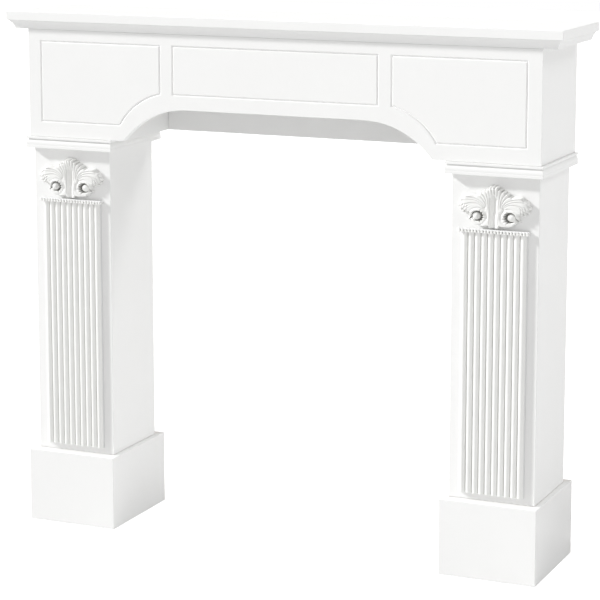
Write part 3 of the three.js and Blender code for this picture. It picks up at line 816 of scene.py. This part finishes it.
def makeLeaf(side):
    node = f"leaf_ornament_{side}"
    low, high = nodeBox(node)
    step = leaf["stepMm"]
    halfX = np.arange(*leaf["gridX"], step)
    zs = np.arange(*leaf["gridZ"], step)
    gridX, gridZ = np.meshgrid(halfX, zs)
    half, halfShade = leafHeights(gridX, gridZ)
    heights = blurGrid(np.hstack([half[:, :0:-1], half]), leaf["blurMm"] / step)
    shade = blurGrid(np.hstack([halfShade[:, :0:-1], halfShade]), leaf["shadeBlurMm"] / step)
    xs = np.concatenate([-halfX[:0:-1], halfX])
    solid = heights > leaf["edgeMm"]
    columns, rows = xs[solid.any(axis=0)], zs[solid.any(axis=1)]
    scaleX = (high.x - low.x) / (columns[-1] - columns[0] + step)
    scaleZ = (high.z - low.z) / (rows[-1] - rows[0] + step)
    scaleY = min(mm, (high.y - low.y) / heights.max())
    kept = solid[:-1, :-1] | solid[1:, :-1] | solid[:-1, 1:] | solid[1:, 1:]
    used = np.zeros_like(solid)
    for rowShift in (0, 1):
        for columnShift in (0, 1):
            used[rowShift:rowShift + kept.shape[0], columnShift:columnShift + kept.shape[1]] |= kept
    centreX = (low.x + high.x) / 2
    build = bmesh.new()
    shadeLayer = build.verts.layers.float.new("shade")
    points = {}
    for row, column in zip(*np.nonzero(used)):
        depth = heights[row, column] if solid[row, column] else 0
        level = low.z + (zs[row] - rows[0] + step / 2) * scaleZ
        vertex = build.verts.new((centreX + xs[column] * scaleX, high.y - depth * scaleY, level))
        vertex[shadeLayer] = shade[row, column]
        points[row, column] = vertex
    for row, column in zip(*np.nonzero(kept)):
        corners = [(row, column), (row, column + 1), (row + 1, column + 1), (row + 1, column)]
        build.faces.new([points[c] for c in corners])
    for vertex in build.verts:
        if vertex.is_boundary:
            vertex.co.y = high.y
    bmesh.ops.smooth_vert(build, verts=[v for v in build.verts if v.is_boundary], factor=0.5,
                          use_axis_x=True, use_axis_y=False, use_axis_z=True)
    rim = [e for e in build.edges if e.is_boundary]
    bmesh.ops.holes_fill(build, edges=rim, sides=0)
    bmesh.ops.recalc_face_normals(build, faces=build.faces)
    mesh = meshOf(f"leaf_{side}", build)
    mesh.shade_smooth()
    mesh.set_sharp_from_angle(angle=math.radians(leaf["sharpDegrees"]))
    mesh.materials.append(leafPaint)
    piece = newObject(f"leaf_{side}", mesh)
    finishPiece(piece, [node])
    print("leaf", side, len(mesh.polygons), "faces")


for side in sides:
    makeLeaf(side)
print("stage leaves done")


# Floor, light and camera

studio = {
    "floor": "#e4e4e4", "floorShade": "#e1e1e1", "floorCloudMm": 900, "floorHalfM": 14,
    "floorDropMm": 0.4, "lift": 0.75, "sky": 0.61,
    "sunWay": (0.81, 0.30, -0.51), "sunPower": 3.1, "sunAngle": 5.0,
    "fillWay": (-0.55, -0.50, -0.68), "fillPower": 0.65, "fillAngle": 20.0,
}


def addSun(name, way, power, angle):
    light = bpy.data.lights.new(name, "SUN")
    light.energy = power
    light.angle = math.radians(angle)
    lamp = newObject(name, light)
    lamp.rotation_euler = Vector(way).to_track_quat("-Z", "Y").to_euler()


# The floor and the sky look brighter than they light, like a white sweep that is lit by itself.
def addLift(tree, strength):
    path = addNode(tree, "ShaderNodeLightPath")
    amount = addNode(tree, "ShaderNodeMath", {"operation": "MULTIPLY", 1: strength},
                     {0: path.outputs["Is Camera Ray"]})
    return amount.outputs[0]


def makeFloor():
    build = bmesh.new()
    bmesh.ops.create_grid(build, x_segments=1, y_segments=1, size=studio["floorHalfM"])
    floor = newObject("floor", meshOf("floor", build))
    floor.location.z = -studio["floorDropMm"] * mm
    material, tree = newMaterial("pale_sweep")
    coords = addNode(tree, "ShaderNodeTexCoord").outputs["Object"]
    cloud = noiseOf(tree, coords, studio["floorCloudMm"])
    colour = blendColours(tree, cloud.outputs[0], studio["floor"], studio["floorShade"])
    matt = addNode(tree, "ShaderNodeBsdfDiffuse", {"Roughness": 0.6}, {"Color": colour})
    glow = addNode(tree, "ShaderNodeEmission", {}, {"Strength": addLift(tree, studio["lift"])})
    both = addNode(tree, "ShaderNodeAddShader", {}, {0: matt.outputs[0], 1: glow.outputs[0]})
    addNode(tree, "ShaderNodeOutputMaterial", {}, {"Surface": both.outputs[0]})
    floor.data.materials.append(material)


def makeSky():
    world = bpy.data.worlds.new("soft_room")
    world.use_nodes = True
    tree = world.node_tree
    strength = addNode(tree, "ShaderNodeMath", {"operation": "ADD", 1: studio["sky"]},
                       {0: addLift(tree, 1 - studio["sky"])})
    tree.links.new(strength.outputs[0], tree.nodes["Background"].inputs["Strength"])
    tree.nodes["Background"].inputs["Color"].default_value = (1, 1, 1, 1)
    bpy.context.scene.world = world
    bpy.context.scene.view_settings.view_transform = "Standard"


view = {
    "lens": 136.29, "sensorMm": 36, "shiftY": -0.15, "at": (1.8793, -4.2447, 1.4681),
    "pitch": 9.41, "yaw": 23.73,
}


def makeCamera():
    camera = bpy.data.cameras.new("photo_view")
    camera.lens = view["lens"]
    camera.sensor_width = view["sensorMm"]
    camera.shift_y = view["shiftY"]
    holder = newObject("photo_view", camera)
    holder.location = view["at"]
    holder.rotation_euler = (math.radians(90 - view["pitch"]), 0, math.radians(view["yaw"]))
    bpy.context.scene.camera = holder


makeFloor()
makeSky()
addSun("window_light", studio["sunWay"], studio["sunPower"], studio["sunAngle"])
addSun("fill_light", studio["fillWay"], studio["fillPower"], studio["fillAngle"])
makeCamera()

print("stage studio done")
